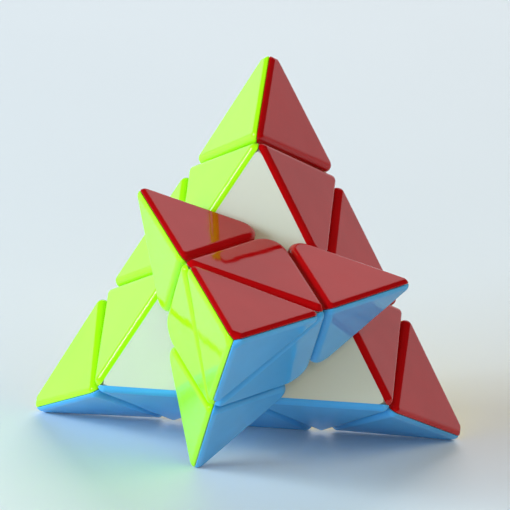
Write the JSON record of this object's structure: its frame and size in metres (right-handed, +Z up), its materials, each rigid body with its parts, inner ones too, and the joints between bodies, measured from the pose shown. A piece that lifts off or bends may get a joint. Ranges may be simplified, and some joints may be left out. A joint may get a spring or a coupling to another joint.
{
  "type": "pyramid twisty puzzle",
  "caption": "Tetrahedron twisty puzzle with turning corner tips and a part-turned front layer on a sprung screw core.",
  "frame": {"origin": "floor under the middle of the puzzle's box, as it stands on its left and right tips and one corner of the turned front layer", "axes": "+Z up, +X along the lower back edge towards the right corner, the front corner points towards -Y"},
  "size_m": [0.0954, 0.0883, 0.0816],
  "materials": {
    "lime_shell": "high gloss",
    "red_shell": "high gloss",
    "blue_shell": "high gloss",
    "yellow_shell": "high gloss",
    "white_body": "satin milky white",
    "core_plastic": "satin",
    "screw_steel": "zinc plated",
    "washer_steel": "plain",
    "spring_steel": "drawn wire"
  },
  "bodies": {
    "base_layer": {"axial_left_blue": "blue_shell", "axial_left_body": "white_body", "axial_left_lime": "lime_shell", "axial_left_yellow": "yellow_shell", "axial_right_blue": "blue_shell", "axial_right_body": "white_body", "axial_right_red": "red_shell", "axial_right_yellow": "yellow_shell", "axial_top_body": "white_body", "axial_top_lime": "lime_shell", "axial_top_red": "red_shell", "axial_top_yellow": "yellow_shell", "core": "core_plastic", "edge_left_right_blue": "blue_shell", "edge_left_right_body": "white_body", "edge_left_right_yellow": "yellow_shell", "edge_top_left_body": "white_body", "edge_top_left_lime": "lime_shell", "edge_top_left_yellow": "yellow_shell", "edge_top_right_body": "white_body", "edge_top_right_red": "red_shell", "edge_top_right_yellow": "yellow_shell", "screws": "screw_steel", "springs": "spring_steel", "washers": "washer_steel"},
    "front_layer": {"axial_front_blue": "blue_shell", "axial_front_body": "white_body", "axial_front_lime": "lime_shell", "axial_front_red": "red_shell", "edge_left_front_blue": "blue_shell", "edge_left_front_body": "white_body", "edge_left_front_lime": "lime_shell", "edge_right_front_blue": "blue_shell", "edge_right_front_body": "white_body", "edge_right_front_red": "red_shell", "edge_top_front_body": "white_body", "edge_top_front_lime": "lime_shell", "edge_top_front_red": "red_shell"},
    "tip_top": {"tip_top_base": "white_body", "tip_top_lime": "lime_shell", "tip_top_red": "red_shell", "tip_top_yellow": "yellow_shell"},
    "tip_left": {"tip_left_base": "white_body", "tip_left_blue": "blue_shell", "tip_left_lime": "lime_shell", "tip_left_yellow": "yellow_shell"},
    "tip_right": {"tip_right_base": "white_body", "tip_right_blue": "blue_shell", "tip_right_red": "red_shell", "tip_right_yellow": "yellow_shell"},
    "tip_front": {"tip_front_base": "white_body", "tip_front_blue": "blue_shell", "tip_front_lime": "lime_shell", "tip_front_red": "red_shell"}
  },
  "joints": [
    {"name": "front_layer_turn", "type": "hinge", "parent": "base_layer", "child": "front_layer", "pos_m": [0, -0.00139, 0.03523], "axis": [0, -0.9754, 0.2207], "continuous": true},
    {"name": "tip_top_turn", "type": "hinge", "parent": "base_layer", "child": "tip_top", "pos_m": [0, 0.02826, 0.05752], "axis": [0, 0.5332, 0.846], "continuous": true},
    {"name": "tip_left_turn", "type": "hinge", "parent": "base_layer", "child": "tip_left", "pos_m": [-0.02449, 0.0189, 0.01614], "axis": [-0.8165, 0.2211, -0.5333], "continuous": true},
    {"name": "tip_right_turn", "type": "hinge", "parent": "base_layer", "child": "tip_right", "pos_m": [0.02449, 0.0189, 0.01614], "axis": [0.8165, 0.2211, -0.5333], "continuous": true},
    {"name": "tip_front_turn", "type": "hinge", "parent": "front_layer", "child": "tip_front", "pos_m": [0, -0.017, 0.03876], "axis": [0, -0.9754, 0.2207], "continuous": true}
  ]
}
